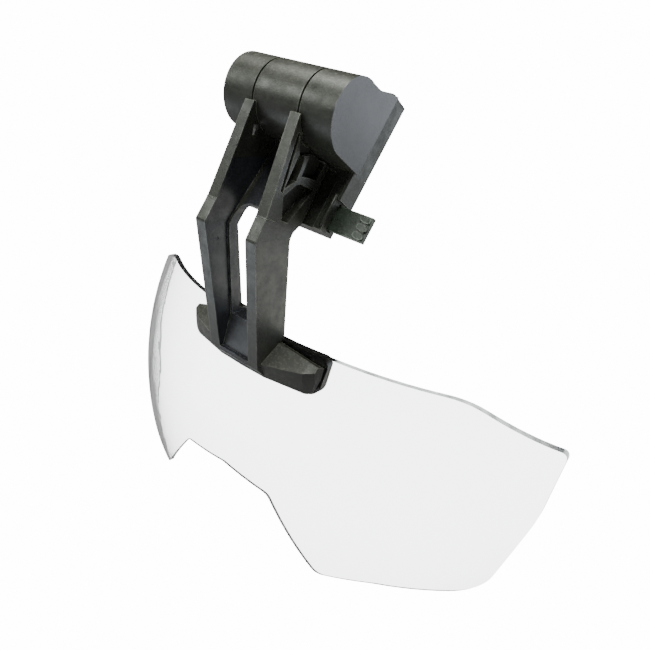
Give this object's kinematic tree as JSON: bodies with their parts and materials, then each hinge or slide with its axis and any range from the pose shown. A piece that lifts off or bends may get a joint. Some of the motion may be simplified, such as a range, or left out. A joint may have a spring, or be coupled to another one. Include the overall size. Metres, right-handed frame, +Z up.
{
  "type": "head visor magnifier",
  "caption": "Clip-on magnifying visor: a clear wrap-round lens with a nose notch, screwed to a ribbed swing arm on a friction hinge, with a bracket that latches to a headband.",
  "frame": {"origin": "centre of the bracket's flat back face, where it lies against the headband's socket", "axes": "+Z up with the lens hanging upright, -Y the front (away from the wearer), +X towards the wearer's left; the bracket's plate leans back by 30 degrees"},
  "size_m": [0.1326, 0.0479, 0.1122],
  "materials": {
    "bracket_plastic": "satin moulded",
    "cover_plastic": "fine matte",
    "ear_plastic": "satin moulded",
    "arm_plastic": "satin moulded",
    "tab_plastic": "semi-gloss",
    "disc_plastic": "smooth",
    "bush_plastic": "smooth",
    "plated_steel": "plated",
    "spring_steel": "polished wire",
    "brass_metal": "turned",
    "rubber_pad": "soft matte",
    "clear_lens": "polished clear acrylic"
  },
  "bodies": {
    "bracket": {"bracket_body": "bracket_plastic", "bracket_rear_cover": "cover_plastic", "rear_cover_screws": "plated_steel", "hinge_bolt": "plated_steel", "hinge_nut": "brass_metal", "hinge_spring_washers": "spring_steel", "hinge_end_cap": "ear_plastic", "friction_disc_left": "disc_plastic", "friction_disc_right": "disc_plastic", "latch_spring_left": "spring_steel", "latch_spring_right": "spring_steel", "arm_rest_bumper": "rubber_pad"},
    "arm": {"swing_arm": "arm_plastic", "hinge_bush": "bush_plastic", "lens_clamp_bar": "arm_plastic", "lens_clamp_screws": "plated_steel", "lens_clamp_inserts": "brass_metal", "lens": "clear_lens"},
    "left_latch": {"release_tab_left": "tab_plastic"},
    "right_latch": {"release_tab_right": "tab_plastic"}
  },
  "joints": [
    {"name": "arm_hinge", "type": "hinge", "parent": "bracket", "child": "arm", "pos_m": [0, -0.00929, 0.0105], "axis": [-1, 0, 0], "range_deg": [0, 110]},
    {"name": "left_latch_slide", "type": "slide", "parent": "bracket", "child": "left_latch", "axis": [-1, 0, 0], "range_m": [0, 0.0025], "stiffness_N_per_m": 400, "springref_m": -0.001, "deforming": ["latch_spring_left"]},
    {"name": "right_latch_slide", "type": "slide", "parent": "bracket", "child": "right_latch", "axis": [1, 0, 0], "range_m": [0, 0.0025], "stiffness_N_per_m": 400, "springref_m": -0.001, "deforming": ["latch_spring_right"]}
  ]
}
